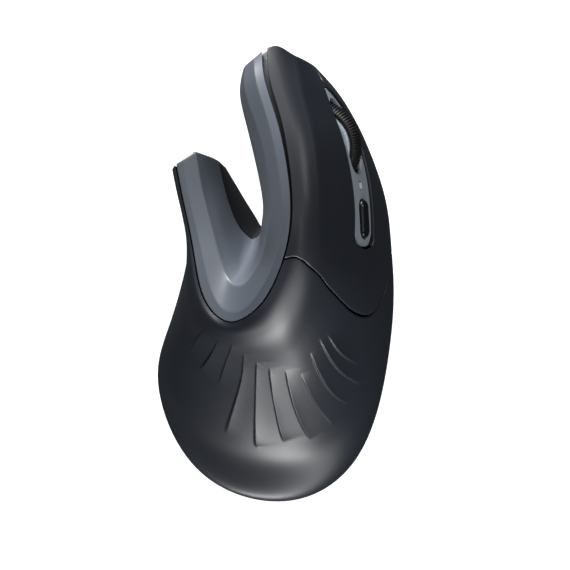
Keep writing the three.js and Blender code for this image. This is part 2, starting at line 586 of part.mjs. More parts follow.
function basePlate() {
  const outline = [];
  for (const t of steps(0, LAST_RIB, 60)) outline.push(outer(OUTER.foot, t));
  for (const t of steps(LAST_RIB, 0, 60)) outline.push(inner(INNER.foot, t));
  const shape = new THREE.Shape(outline.map((p) => new THREE.Vector2(p.x, p.y)));
  const flat = { depth: PLATE, bevelEnabled: false };
  const slab = new THREE.ExtrudeGeometry(shape, flat).translate(0, 0, FOOT_Z);
  const screwHole = ([x, y]) => [pin(x, y, 1.5, 0, 4), pin(x, y, 2.6, 0, FOOT_Z + 1)];
  const holes = [...BOSSES, ...POSTS].flatMap(screwHole);
  const [sx, sy] = SENSOR;
  const [px, py] = POWER;
  const sensorWindow = block(sx - 4.5, sx + 4.5, sy - 4, sy + 4, 0, 4);
  const powerWindow = block(px - 2.5, px + 2.5, py - 4.5, py + 4.5, 0, 4);
  return cut(slab, ...holes, sensorWindow, powerWindow);
}
function palmShell() {
  const posts = BOSSES.map(([x, y, s, t]) => {
    const rim = [[3, 0], [-3, 0], [0, 3], [0, -3]].map(([dx, dy]) => skinHeight(x + dx, y + dy, s, t));
    return pin(x, y, 2.8, SHELL_Z, Math.min(...rim) - 1.1);
  });
  const bores = BOSSES.map(([x, y]) => pin(x, y, 1.25, 0, 8));
  return cut(join(palmSkin(), ...posts), ...bores);
}
const SCREW = [[0.95, 0], [0.95, 2.2], [1.5, 2.2], [1.5, 1.05], [7.4, 1.05], [7.8, 0.6], [7.8, 0]];
const screw = ([x, y]) => turnedUp(SCREW, 20).translate(x, y, 0);

// Glide feet: round-ended pads [x, y, width, length, turn].
const FEET = {
  front: [5, 43, 8, 15, -80],
  wing: [-17.5, 20, 6, 13, 15],
  rear: [0.5, -50.5, 7, 26, 90],
  side: [23.2, -22, 5, 18, 4],
};
function glideFoot([x, y, width, length, turn]) {
  const pad = capsule(width, -length / 2, length / 2, 0, FOOT_Z - 0.2, 12);
  return pad.rotateZ(THREE.MathUtils.degToRad(turn)).translate(x, y, 0);
}

// Flat cable: a path of [x, y] pairs with a thickness, extruded to its width.
function band(path, thick, width) {
  const curve = new THREE.SplineCurve(path.map(([x, y]) => new THREE.Vector2(x, y)));
  const side = (u, offset) => {
    const [p, along] = [curve.getPoint(u), curve.getTangent(u)];
    return new THREE.Vector2(p.x - along.y * offset, p.y + along.x * offset);
  };
  const us = steps(0, 1, 14);
  const outline = [...us.map((u) => side(u, thick / 2)), ...us.reverse().map((u) => side(u, -thick / 2))];
  return new THREE.ExtrudeGeometry(new THREE.Shape(outline), { depth: width, bevelEnabled: false });
}

// ---------------------------------------------------------------- materials
const plastic = (color, roughness = 0.5) => new THREE.MeshStandardMaterial({ color, roughness, metalness: 0 });
const metal = (color, roughness = 0.35) => new THREE.MeshStandardMaterial({ color, roughness, metalness: 1 });
const DARK = plastic(0x24272e, 0.45);
const SHELL = plastic(0x2b2d33, 0.42);
const INSERT = plastic(0x6f757e, 0.45);
const SILVER = plastic(0x98a2ab, 0.35);
const BLACK = plastic(0x0b0d12, 0.3);
const RUBBER = plastic(0x101114, 0.85);
const BOARD = plastic(0x1d5a38, 0.5);
const STEEL = metal(0xb8bcc2);
const GLIDE = plastic(0x1a1a1c, 0.6);
const CLEAR = plastic(0xd8dde0, 0.1);
const CELL = plastic(0x8f959c, 0.4);
const LAMP = plastic(0xdfe8ee, 0.3);

// ---------------------------------------------------------------- assembly
const mouse = new THREE.Group();
mouse.name = "computer_mouse";
function add(name, geometry, material) {
  const flat = geometry.index ? geometry.toNonIndexed() : geometry;
  flat.computeVertexNormals();
  const mesh = new THREE.Mesh(flat, material);
  mesh.name = name;
  mouse.add(mesh);
}

const wheelSlot = at(WHEEL_FRAME, capsule(SLOT_WIDTH, -10.4, 9.6, -8, 4));
const pillHole = at(DPI_FRAME, capsule(4.5, -5.1, 5.1, -6, 3));
const lampHole = at(LED_FRAME, block(-0.75, 0.75, -1.05, 1.05, -5, 3));

add("base_plate", basePlate(), DARK);
add("palm_shell", palmShell(), SHELL);
add("top_cover", topCover(), SHELL);
add("left_button", buttonShell(() => 0, (t) => stripLeftS(t) - GAP_S, 12), SHELL);
add("right_button", buttonShell((t) => stripRightS(t) + GAP_S, () => PANEL_FOOT, 5), SHELL);
add("wheel_strip", cut(wheelStrip(), wheelSlot, pillHole, lampHole), SILVER);
add("thumb_saddle", saddleSkin(), INSERT);
add("thumb_wall", thumbWallSkin(), DARK);
add("seam_trim", seamTrim(), BLACK);
const portHole = block(-2.6, 7, 44, 60, 4.9, 9.1);
add("front_cap", cut(endCap(0.15, 46, 3.4, 0.8, 1.2), portHole), DARK);
add("wing_cap", endCap(14.85, 25.5, 3.4, 0.4, 0.8), DARK);

add("scroll_tyre", at(WHEEL_FRAME, tyre()), RUBBER);
add("scroll_hub", at(WHEEL_FRAME, hub()), SILVER);
add("wheel_bracket", at(WHEEL_FRAME, wheelBracket()), BLACK);
add("scroll_encoder", at(WHEEL_FRAME, encoder()), BLACK);
add("button_board", at(WHEEL_FRAME, buttonBoard()), BOARD);
add("inner_frame", innerFrame(), BLACK);
add("left_switch", at(WHEEL_FRAME, snapSwitch(-12.6, 0)), BLACK);
add("right_switch", at(WHEEL_FRAME, snapSwitch(9.2, -5)), BLACK);
add("middle_switch", at(WHEEL_FRAME, tactSwitch(0, -14.6, 5.6, 4, -9.9)), BLACK);
add("dpi_switch", at(WHEEL_FRAME, tactSwitch(0, -20.6, 5.6, 5.6, -8.7)), BLACK);
add("dpi_button", at(DPI_FRAME, dpiButton()), BLACK);
add("status_lamp", at(LED_FRAME, block(-0.45, 0.45, -0.75, 0.75, -3.4, -0.4)), LAMP);

add("main_board", block(-1.5, 19.5, -37, 3.5, 7.5, 8.7), BOARD);
const [sensorX, sensorY] = SENSOR;
add("motion_sensor", block(sensorX - 5, sensorX + 5, sensorY - 5.5, sensorY + 5.5, 9, 11.6), BLACK);
const lensPlate = block(sensorX - 7, sensorX + 7, sensorY - 9, sensorY + 9, 5.9, 7.2);
const lensBarrel = block(sensorX - 3.8, sensorX + 3.8, sensorY - 3.3, sensorY + 3.3, 1.3, 6.2);
add("sensor_lens", join(lensPlate, lensBarrel), CLEAR);
const [powerX, powerY] = POWER;
add("power_switch", block(powerX - 2.8, powerX + 2.8, powerY - 5, powerY + 5, 4.9, 7.2), BLACK);
const stem = block(powerX - 1, powerX + 1, powerY - 2.6, powerY - 0.6, 2, 4.6);
add("power_slider", join(block(powerX - 1.9, powerX + 1.9, powerY - 3.6, powerY + 0.4, 1, 2.2), stem), SILVER);
add("battery", block(-16.2, -4.5, -34, -9, 3, 8.2), CELL);
const leadPath = [[-4.2, 6.3], [-3.3, 6.6], [-2.7, 8.2], [-2.0, 9.3], [-1.0, 9.5], [0.6, 9.4]];
add("battery_lead", band(leadPath, 0.5, 2.4).rotateX(Math.PI / 2).translate(0, -10, 0), BLACK);
add("charge_board", block(-1.5, 8, 34.6, 46, 3.2, 4.4), BOARD);
add("usb_c_port", cut(block(-2.2, 6.6, 43.5, 50.9, 5.3, 8.7), block(-1.8, 6.2, 45, 52, 5.7, 8.3)), STEEL);
const ribbonPath = [[0.8, 9.2], [3.5, 9.3], [5.4, 10.6], [6.6, 13.5], [7.6, 18], [8.2, 22], [8.5, 25]];
const UPRIGHT = new THREE.Matrix4().makeBasis(new THREE.Vector3(0, 1, 0), UP, new THREE.Vector3(1, 0, 0));
add("ribbon_cable", band(ribbonPath, 0.4, 6).applyMatrix4(UPRIGHT).translate(11.5, 0, 0), SILVER);
for (const [name, spec] of Object.entries(FEET)) add(`glide_foot_${name}`, glideFoot(spec), GLIDE);
[...BOSSES, ...POSTS].forEach((place, i) => add(`base_screw_${i + 1}`, screw(place), STEEL));

export default mouse;
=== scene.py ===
"""Visual model of a right-handed vertical computer mouse, built over the CAD frame.

The outer form is a horseshoe of ribs, the same as the CAD's. Rib 0 is the nose of the finger ridge. The ribs
run back round the web of the hand and forward again to the tip of the thumb wing, rib 15.
Lengths are in millimetres until mesh_object turns them into metres.
"""

import math

import bmesh
import bpy
import numpy as np
from mathutils import Matrix, Vector


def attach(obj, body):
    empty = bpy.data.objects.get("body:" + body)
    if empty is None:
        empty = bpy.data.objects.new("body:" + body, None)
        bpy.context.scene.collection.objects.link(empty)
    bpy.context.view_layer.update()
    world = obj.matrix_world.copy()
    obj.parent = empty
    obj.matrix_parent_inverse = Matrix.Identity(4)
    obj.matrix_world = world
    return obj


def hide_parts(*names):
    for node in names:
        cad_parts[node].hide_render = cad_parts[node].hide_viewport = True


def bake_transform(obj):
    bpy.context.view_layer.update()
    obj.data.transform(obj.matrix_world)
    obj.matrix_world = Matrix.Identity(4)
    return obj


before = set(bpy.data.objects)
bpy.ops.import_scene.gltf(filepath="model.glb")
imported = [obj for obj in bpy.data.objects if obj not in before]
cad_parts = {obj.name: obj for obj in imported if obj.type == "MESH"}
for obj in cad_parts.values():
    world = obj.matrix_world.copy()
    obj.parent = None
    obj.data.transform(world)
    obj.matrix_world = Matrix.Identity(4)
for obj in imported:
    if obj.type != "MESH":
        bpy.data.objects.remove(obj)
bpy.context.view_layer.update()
MM = 0.001

# ---------------------------------------------------------------- the form
SHELL_Z = 2.7
LAST_RIB = 15
OUTER_RIBS = np.array([
    [[-2.5, 56.4, 50.5], [-1.2, 57.0, 50.6], [4.6, 54.6, 47.8], [6.5, 53.8, 43.8],
     [7.9, 53.1, 39.4], [9.0, 52.5, 33.5], [9.6, 52.0, 24], [8.1, 50.4, SHELL_Z]],
    [[-2.0, 48.9, 54.4], [1.4, 48.5, 54.2], [5.9, 47.8, 51.9], [8.9, 47.3, 46.6],
     [11.6, 46.9, 41.2], [13.8, 46.4, 35.0], [15.1, 46.0, 23], [13.4, 44.6, SHELL_Z]],
    [[0.2, 40.9, 57.7], [3.6, 40.8, 57.3], [7.7, 40.4, 54.9], [11.0, 40.1, 49.0],
     [14.4, 39.9, 42.4], [17.3, 39.8, 35.2], [19.2, 39.6, 22], [17.4, 38.4, SHELL_Z]],
    [[2.2, 32.1, 60.3], [5.6, 32.2, 59.8], [9.5, 32.3, 57.2], [13.1, 32.3, 50.9],
     [17.0, 32.4, 43.3], [20.4, 32.4, 35.2], [22.7, 32.4, 21], [20.9, 31.4, SHELL_Z]],
    [[3.6, 20.1, 62.0], [6.9, 19.9, 61.4], [10.6, 19.8, 58.7], [14.9, 19.7, 51.5],
     [19.6, 19.7, 42.8], [24.2, 19.6, 32.6], [27.1, 19.6, 18], [25.4, 19.1, SHELL_Z]],
    [[3.1, 9.9, 61.3], [6.0, 9.2, 61.2], [9.8, 8.6, 59.0], [14.6, 8.1, 52.2],
     [20.2, 7.6, 42.8], [25.4, 7.3, 31.6], [28.7, 7.1, 16.5], [27.3, 6.4, SHELL_Z]],
    [[0.8, 1.6, 58.5], [3.5, 1.2, 59.0], [7.4, 0.3, 57.8], [13.2, -1.0, 51.9],
     [19.8, -2.4, 42.5], [25.8, -3.4, 30.2], [29.3, -4.0, 14.5], [28.3, -4.4, SHELL_Z]],
    [[-2.7, -5.6, 54.0], [-0.2, -6.6, 54.6], [3.4, -8.3, 53.7], [9.6, -11.6, 48.0],
     [16.9, -15.4, 38.3], [23.9, -18.7, 25.2], [28.0, -20.6, 10.5], [27.3, -20.6, SHELL_Z]],
    [[-6.8, -9.8, 49.0], [-5.0, -11.3, 49.6], [-2.0, -14.0, 48.7], [2.9, -20.4, 41.8],
     [9.1, -29.0, 31.0], [16.0, -38.0, 17.5], [21.1, -44.4, 5.5], [20.6, -43.8, SHELL_Z]],
    [[-11.1, -11.8, 44.2], [-10.9, -13.3, 44.5], [-10.2, -15.8, 43.0], [-8.4, -23.0, 33.0],
     [-4.9, -33.5, 22.5], [-0.4, -46.0, 12.0], [3.1, -56.9, 4.4], [3.1, -56.2, SHELL_Z]],
    [[-15.4, -10.1, 40.0], [-16.2, -11.0, 40.1], [-17.2, -12.7, 38.4], [-18.6, -18.6, 26.5],
     [-19.6, -28.0, 16.0], [-19.8, -39.5, 8.8], [-19.5, -49.5, 4.0], [-19.0, -48.8, SHELL_Z]],
    [[-19.0, -4.5, 36.6], [-19.8, -4.9, 36.5], [-20.9, -5.8, 34.8], [-23.0, -10.0, 24.5],
     [-25.4, -16.4, 14.5], [-27.9, -22.6, 8.2], [-29.9, -28.4, 3.9], [-29.1, -28.4, SHELL_Z]],
    [[-20.8, 3.6, 33.7], [-21.4, 3.4, 33.5], [-22.2, 2.9, 32.0], [-22.8, 0.2, 23.5],
     [-24.1, -4.4, 14.0], [-25.7, -9.0, 8.0], [-27.0, -12.4, 3.9], [-26.3, -12.4, SHELL_Z]],
    [[-22.1, 10.9, 31.2], [-22.6, 10.8, 30.9], [-22.9, 10.5, 29.4], [-22.3, 9.4, 22.0],
     [-21.9, 7.8, 13.8], [-22.1, 6.0, 8.0], [-22.6, 4.6, 4.0], [-22.0, 4.8, SHELL_Z]],
    [[-24.1, 20.1, 29.1], [-24.6, 20.0, 28.8], [-24.9, 19.7, 27.4], [-23.5, 18.9, 20.6],
     [-22.0, 17.8, 13.3], [-21.2, 16.7, 8.0], [-20.9, 15.9, 4.0], [-20.3, 15.9, SHELL_Z]],
    [[-25.6, 27.7, 27.6], [-26.1, 27.2, 27.3], [-26.4, 26.7, 26.0], [-24.2, 26.7, 19.8],
     [-21.2, 26.4, 13.0], [-18.7, 26.2, 8.0], [-17.0, 26.0, 4.0], [-16.4, 25.9, SHELL_Z]],
])
INNER_RIBS = np.array([
    [[-3.8, 55.6, 50.4], [-5.9, 53.9, 50.0], [-7.8, 52.4, 47.4], [-8.4, 51.6, 42.0],
     [-7.6, 51.9, 34.0], [-6.0, 52.4, 26], [-3.4, 53.4, SHELL_Z]],
    [[-3.2, 48.9, 54.3], [-5.4, 48.4, 54.0], [-8.2, 46.4, 51.0], [-9.3, 45.4, 45.0],
     [-8.4, 45.8, 36.0], [-7.2, 46.2, 26], [-5.4, 46.4, SHELL_Z]],
    [[-0.9, 40.9, 57.6], [-3.1, 40.6, 57.3], [-5.9, 38.8, 54.2], [-7.8, 38.2, 47.5],
     [-7.2, 38.6, 37.5], [-6.4, 39.2, 26], [-4.9, 39.4, SHELL_Z]],
    [[1.4, 32.1, 60.3], [-0.8, 31.8, 59.9], [-3.5, 30.6, 56.8], [-5.8, 30.6, 50.0],
     [-5.4, 30.8, 38.5], [-4.7, 31.2, 25], [-3.6, 31.4, SHELL_Z]],
    [[3.1, 20.1, 62.0], [1.0, 20.0, 61.6], [-1.8, 19.0, 58.0], [-3.5, 19.4, 50.5],
     [-3.5, 19.6, 37.5], [-3.1, 20.0, 23], [-2.3, 20.8, SHELL_Z]],
    [[2.7, 9.9, 61.2], [0.8, 10.0, 60.6], [-2.4, 10.8, 56.0], [-3.7, 13.2, 46.0],
     [-3.7, 13.8, 33.0], [-3.5, 14.8, 20.5], [-2.6, 15.8, SHELL_Z]],
    [[0.5, 1.7, 58.4], [-1.2, 2.1, 57.4], [-3.9, 4.6, 50.8], [-4.4, 8.6, 39.0],
     [-4.1, 10.6, 27.5], [-4.0, 11.9, 18.8], [-3.2, 13.5, SHELL_Z]],
    [[-3.0, -5.4, 53.9], [-4.5, -4.1, 52.6], [-6.4, 0.0, 46.2], [-5.8, 3.6, 37.5],
     [-5.0, 7.2, 26.8], [-4.6, 10.4, 17.9], [-3.7, 12.6, SHELL_Z]],
    [[-7.0, -9.6, 48.8], [-7.8, -8.0, 47.9], [-8.6, -2.2, 42.8], [-7.7, 0.9, 36.5],
     [-6.4, 5.2, 26.4], [-5.5, 9.5, 17.5], [-4.0, 12.4, SHELL_Z]],
    [[-11.1, -11.5, 44.0], [-11.0, -9.2, 43.6], [-10.5, -2.5, 40.0], [-9.4, 0.0, 35.5],
     [-7.7, 4.8, 26.2], [-6.5, 9.4, 17.5], [-4.3, 12.7, SHELL_Z]],
    [[-15.2, -9.9, 39.9], [-14.3, -7.7, 40.0], [-11.8, -1.5, 37.8], [-10.5, 0.8, 34.2],
     [-8.9, 5.6, 25.8], [-7.6, 10.2, 17.8], [-4.7, 13.3, SHELL_Z]],
    [[-18.7, -4.4, 36.5], [-16.9, -2.3, 37.0], [-13.2, 1.2, 35.6], [-11.6, 3.5, 32.2],
     [-10.0, 7.9, 25.2], [-8.9, 11.5, 18.5], [-5.4, 14.6, SHELL_Z]],
    [[-20.5, 3.7, 33.6], [-18.6, 4.6, 34.4], [-14.8, 6.4, 33.4], [-13.0, 8.9, 29.6],
     [-11.6, 11.6, 24.6], [-10.4, 13.9, 19.3], [-6.5, 16.4, SHELL_Z]],
    [[-21.8, 10.9, 31.1], [-20.2, 11.5, 32.0], [-16.8, 13.8, 31.2], [-15.0, 15.9, 27.6],
     [-13.5, 17.1, 23.8], [-12.1, 18.2, 19.8], [-8.2, 19.1, SHELL_Z]],
    [[-23.8, 20.1, 29.0], [-22.3, 20.5, 29.9], [-18.9, 22.2, 29.3], [-16.9, 22.9, 26.0],
     [-15.1, 23.1, 22.8], [-13.5, 23.4, 19.8], [-10.7, 23.3, SHELL_Z]],
    [[-25.3, 27.9, 27.5], [-23.8, 28.9, 28.4], [-20.4, 31.1, 27.8], [-18.0, 30.3, 24.8],
     [-16.3, 29.7, 22.2], [-14.7, 28.9, 19.6], [-13.2, 27.5, SHELL_Z]],
])
SADDLE_LIP = 5  # the saddle ends at this point of the inner ribs
PANEL_FOOT = 6.3  # the finger panel ends at this parameter of the outer ribs


def smoothstep(x, low, high):
    u = np.clip((x - low) / (high - low), 0, 1)
    return u * u * (3 - 2 * u)


def bends(values):
    """Second derivatives of the natural cubic spline through values at 0, 1, 2, ... along the first axis."""
    n = len(values)
    matrix = np.eye(n)
    right = np.zeros(values.shape)
    for i in range(1, n - 1):
        matrix[i, i - 1 : i + 2] = [1, 4, 1]
        right[i] = 6 * (values[i + 1] - 2 * values[i] + values[i - 1])
    return np.linalg.solve(matrix, right.reshape(n, -1)).reshape(values.shape)


def spline(values, bend, t):
    """The spline's values at the parameters t."""
    i = np.clip(np.floor(t).astype(int), 0, len(values) - 2)
    b = (t - i)[:, None, None]
    a = 1 - b
    line = a * values[i] + b * values[i + 1]
    return line + ((a**3 - a) * bend[i] + (b**3 - b) * bend[i + 1]) / 6


OUTER_BENDS = bends(OUTER_RIBS)
INNER_BENDS = bends(INNER_RIBS)


def chain(points, s, sharp):
    """Points at parameters s on chains of points; sharp from 0 to 1 makes a point of the chain a crease."""
    rows = np.arange(len(s))
    count = points.shape[1]
    k = np.clip(np.floor(s).astype(int), 0, count - 2)
    u = (s - k)[:, None]
    steps = np.diff(points, axis=1)
    lengths = np.linalg.norm(steps, axis=2, keepdims=True)
    units = steps / lengths
    before, after = lengths[:, :-1], lengths[:, 1:]
    smooth = units[:, :-1] * after / (before + after) + units[:, 1:] * before / (before + after)

    def tangent(i):
        secant = units[rows, k]
        inside = (i > 0) & (i < count - 1)
        middle = smooth[rows, np.clip(i - 1, 0, count - 3)]
        crease = np.where(inside, sharp[rows, i], 1)[:, None]
        return (middle + (secant - middle) * crease) * lengths[rows, k]

    a, b = points[rows, k], points[rows, k + 1]
    u2, u3 = u * u, u**3
    ends = a * (2 * u3 - 3 * u2 + 1) + b * (3 * u2 - 2 * u3)
    return ends + tangent(k) * (u3 - 2 * u2 + u) + tangent(k + 1) * (u3 - u2)


def outer_raw(s, t):
    sharp = np.zeros((len(s), OUTER_RIBS.shape[1]))
    sharp[:, 2] = 1 - smoothstep(t, 3.6, 5.4)
    return chain(spline(OUTER_RIBS, OUTER_BENDS, t), s, sharp)


def inner_raw(q, t):
    sharp = np.zeros((len(q), INNER_RIBS.shape[1]))
    sharp[:, [0, 1, 2, 5]] = 1
    return chain(spline(INNER_RIBS, INNER_BENDS, t), q, sharp)


def softened(raw, last, width):
    """The surface with its creases rounded over a little: an average over nearby parameters."""

    def surface(s, t):
        reach = np.clip(np.minimum(s, last - s) * 0.5, 0, width)
        total = 0
        for tap in (-1, -0.5, 0, 0.5, 1):
            total = total + raw(s + tap * reach, t)
        return total / 5

    return surface


outer = softened(outer_raw, 7, 0.14)
inner = softened(inner_raw, 6, 0.07)


def normals(surface, s, t, sign):
    e = 1e-3
    ds = surface(s + e, t) - surface(s - e, t)
    dt = surface(s, t + e) - surface(s, t - e)
    n = np.cross(ds, dt) * sign
    return n / np.linalg.norm(n, axis=1, keepdims=True)


def seam_normals(surface, s, t, sign):
    """Normals that turn upright beside the saddle's seam, so that its walls are upright."""
    n = normals(surface, s, t, sign)
    up = (1 - smoothstep(s, 0, 1))[:, None]
    n = n * (1 - up) + np.array([0, 0, 1]) * up
    return n / np.linalg.norm(n, axis=1, keepdims=True)


# ---------------------------------------------------------------- seams, in surface parameters
TONGUE_SEAM = [
    [0, 5.7], [0.8, 5.6], [1.5, 5.67], [2.3, 5.9], [3.1, 6.25], [3.8, 6.5], [4.4, 6.57],
    [4.8, 6.45], [5.2, 6.1], [5.5, 5.62], [5.8, 5.25], [6.3, 5.08], [7, 5.08],
]
STRIP_LEFT = [[0, 4.78], [0.4, 4.5], [0.8, 4.2], [1.2, 4.04], [2, 4.0], [3, 4.0], [4, 3.94], [4.7, 3.88]]
STRIP_RIGHT = [
    [0, 4.78], [0.4, 4.5], [0.8, 4.3], [1.2, 4.84], [1.75, 5.18], [2.5, 5.22], [3.3, 5.06],
    [4.1, 4.8], [4.7, 4.72],
]
STRIP_FRONT_T = 0.95
STRIP_END_T = 4.72
STRIP_ROUNDING = 0.34
STRIP_MIDDLE_S = 4.3
STRIP_RECESS = 0.5  # the strip lies this many millimetres below the finger panels
GAP = 0.02  # half of a seam, in surface parameters


def lookup(pairs, x):
    """Cubic through [x, y] pairs."""
    xs, ys = np.array(pairs).T
    slopes = np.gradient(ys, xs)
    slopes[1:-1] = (ys[2:] - ys[:-2]) / (xs[2:] - xs[:-2])
    x = np.clip(x, xs[0], xs[-1])
    i = np.clip(np.searchsorted(xs, x) - 1, 0, len(xs) - 2)
    width = xs[i + 1] - xs[i]
    u = (x - xs[i]) / width
    u2, u3 = u * u, u**3
    ends = ys[i] * (2 * u3 - 3 * u2 + 1) + ys[i + 1] * (3 * u2 - 2 * u3)
    return ends + width * (slopes[i] * (u3 - 2 * u2 + u) + slopes[i + 1] * (u3 - u2))


def strip_reach(t):
    """How far round its end the strip has narrowed: 1 along the strip, 0 at its rear tip and beyond."""
    past = np.clip((t - STRIP_END_T) / STRIP_ROUNDING, 0, 1)
    return (1 - past**3) ** 0.4


def left_edge(t):
    side = lookup(STRIP_LEFT, t) - GAP
    return STRIP_MIDDLE_S + (side - STRIP_MIDDLE_S) * strip_reach(t - GAP)


def right_edge(t):
    side = lookup(STRIP_RIGHT, t) + GAP
    return STRIP_MIDDLE_S + (side - STRIP_MIDDLE_S) * strip_reach(t - GAP)


# ---------------------------------------------------------------- meshes
def mesh_object(name, points, faces, material, smooth=True):
    """Object from points in millimetres."""
    mesh = bpy.data.meshes.new(name)
    mesh.from_pydata((np.asarray(points) * MM).tolist(), [], faces)
    mesh.validate()
    mesh.update()
    mesh.polygons.foreach_set("use_smooth", [smooth] * len(mesh.polygons))
    mesh.materials.append(material)
    obj = bpy.data.objects.new(name, mesh)
    bpy.context.collection.objects.link(obj)
    return obj


def merged(obj):
    """obj with its coinciding points made one."""
    work = bmesh.new()
    work.from_mesh(obj.data)
    bmesh.ops.remove_doubles(work, verts=work.verts, dist=0.002 * MM)
    bmesh.ops.dissolve_degenerate(work, edges=work.edges, dist=0.001 * MM)
    bmesh.ops.recalc_face_normals(work, faces=work.faces)
    work.to_mesh(obj.data)
    work.free()
    return obj


def grid_faces(rows, columns, around=False):
    """Quads of a grid of points; around closes the first and last rows."""
    faces = []
    for i in range(rows if around else rows - 1):
        for j in range(columns - 1):
            a, b = i * columns + j, ((i + 1) % rows) * columns + j
            faces.append((a, b, b + 1, a + 1))
    return faces


ROLL = 0.35
WALL = 1.5
ROLL_ANGLES = np.radians([0, 22.5, 45, 67.5, 90])
ROLL_INSET = np.concatenate([[0], ROLL * (1 - np.cos(ROLL_ANGLES))])
ROLL_DROP = np.concatenate([[WALL], ROLL * (1 - np.sin(ROLL_ANGLES))])


def edged_line(count, length, start=1.0, end=1.0):
    """Parameters 0 to 1 across a moulding that rolls over at both ends, and the drop at each of them.
    length is the real length in millimetres. start and end scale the two rolls. All three may be arrays."""
    length, start, end = np.broadcast_arrays(*(np.atleast_1d(v).astype(float) for v in (length, start, end)))
    head = ROLL_INSET[None, :] * (start / length)[:, None]
    tail = 1 - ROLL_INSET[None, ::-1] * (end / length)[:, None]
    middle = np.linspace(0, 1, count + 2)[1:-1][None, :]
    inside = head[:, -1:] + (tail[:, :1] - head[:, -1:]) * middle
    head_drop = ROLL_DROP[None, :] * start[:, None]
    tail_drop = ROLL_DROP[None, ::-1] * end[:, None]
    return np.hstack([head, inside, tail]), np.hstack([head_drop, np.zeros(inside.shape), tail_drop])


def line_places(count):
    """Where the grid lines of edged_line lie, from 0 to 1, rolls aside."""
    k = len(ROLL_INSET)
    return np.clip((np.arange(count + 2 * k) - k + 1) / (count + 1), 0, 1)


def run_lengths(surface, domain, count, along_u):
    """Real lengths of the domain's lines in one direction, sampled at count places across it."""
    fine = np.linspace(0, 1, 41)
    places = np.linspace(0, 1, count)
    u, v = (np.meshgrid(fine, places) if along_u else np.meshgrid(places, fine))
    s, t = domain(u.ravel(), v.ravel())
    p = surface(s, t).reshape(u.shape + (3,))
    axis = 1 if along_u else 0
    return places, np.linalg.norm(np.diff(p, axis=axis), axis=2).sum(axis=axis)


def moulding(name, surface, sign, domain, counts, material, rolls=(1, 1, 1, 1), relief=None, lift=0.0,
             solid=False):
    """Fine skin over the domain (u, v) to (s, t), rolled over round its rim.
    rolls scales the roll at u = 0, u = 1, v = 0 and v = 1, each a number or a function along that side;
    relief is a height to add at each point, lift raises the whole skin and solid closes it underneath."""
    columns, rows = counts
    v0, u0 = line_places(rows), line_places(columns)
    scales = [roll(w) if callable(roll) else roll for roll, w in zip(rolls, (v0, v0, u0, u0))]
    places, across = run_lengths(surface, domain, 60, True)
    u, u_drop = edged_line(columns, np.interp(v0, places, across), scales[0], scales[1])
    places, along = run_lengths(surface, domain, 30, False)
    v, v_drop = edged_line(rows, np.interp(u0, places, along), scales[2], scales[3])
    v, v_drop = v.T, v_drop.T
    s, t = domain(u.ravel(), v.ravel())
    n = seam_normals(surface, s, t, sign)
    p = surface(s, t) + n * lift
    if relief:
        p = p + n * relief(p)[:, None]
    under = p - n * WALL
    p = p - n * np.maximum(u_drop, v_drop).ravel()[:, None]
    faces = grid_faces(*u.shape)
    middle = faces[len(faces) // 2 + u.shape[1] // 2]
    facing = np.cross(p[middle[1]] - p[middle[0]], p[middle[3]] - p[middle[0]])
    if facing @ n[middle[0]] < 0:
        faces = [face[::-1] for face in faces]
    if solid:
        faces += [tuple(i + len(p) for i in face[::-1]) for face in faces]
        return merged(mesh_object(name, np.vstack([p, under]), faces, material))
    return mesh_object(name, p, faces, material)


# ---------------------------------------------------------------- materials
def link(tree, source, target):
    tree.links.new(source, target)


def moulded_plastic(name, color, roughness=0.4, grain=0.00002, grain_scale=2600, coat=0.0, mottle=0.06):
    """Spark-eroded moulded plastic: a fine grain in the surface and slight unevenness of colour and gloss."""
    material = bpy.data.materials.new(name)
    material.use_nodes = True
    tree = material.node_tree
    shader = tree.nodes["Principled BSDF"]
    where = tree.nodes.new("ShaderNodeTexCoord")
    grain_noise = tree.nodes.new("ShaderNodeTexNoise")
    grain_noise.inputs["Scale"].default_value = grain_scale
    grain_noise.inputs["Detail"].default_value = 3
    cloud = tree.nodes.new("ShaderNodeTexNoise")
    cloud.inputs["Scale"].default_value = 90
    cloud.inputs["Detail"].default_value = 5
    for noise in (grain_noise, cloud):
        link(tree, where.outputs["Object"], noise.inputs["Vector"])
    ramp = tree.nodes.new("ShaderNodeMapRange")
    ramp.inputs["To Min"].default_value = roughness - 0.04
    ramp.inputs["To Max"].default_value = roughness + 0.05
    link(tree, cloud.outputs["Fac"], ramp.inputs["Value"])
    link(tree, ramp.outputs["Result"], shader.inputs["Roughness"])
    mix = tree.nodes.new("ShaderNodeMix")
    mix.data_type = "RGBA"
    mix.inputs["A"].default_value = (*[c * (1 - mottle) for c in color], 1)
    mix.inputs["B"].default_value = (*[c * (1 + mottle) for c in color], 1)
    link(tree, cloud.outputs["Fac"], mix.inputs["Factor"])
    link(tree, mix.outputs["Result"], shader.inputs["Base Color"])
    bump = tree.nodes.new("ShaderNodeBump")
    bump.inputs["Strength"].default_value = 0.35
    bump.inputs["Distance"].default_value = grain
    link(tree, grain_noise.outputs["Fac"], bump.inputs["Height"])
    link(tree, bump.outputs["Normal"], shader.inputs["Normal"])
    shader.inputs["Coat Weight"].default_value = coat
    shader.inputs["Coat Roughness"].default_value = 0.25
    return material


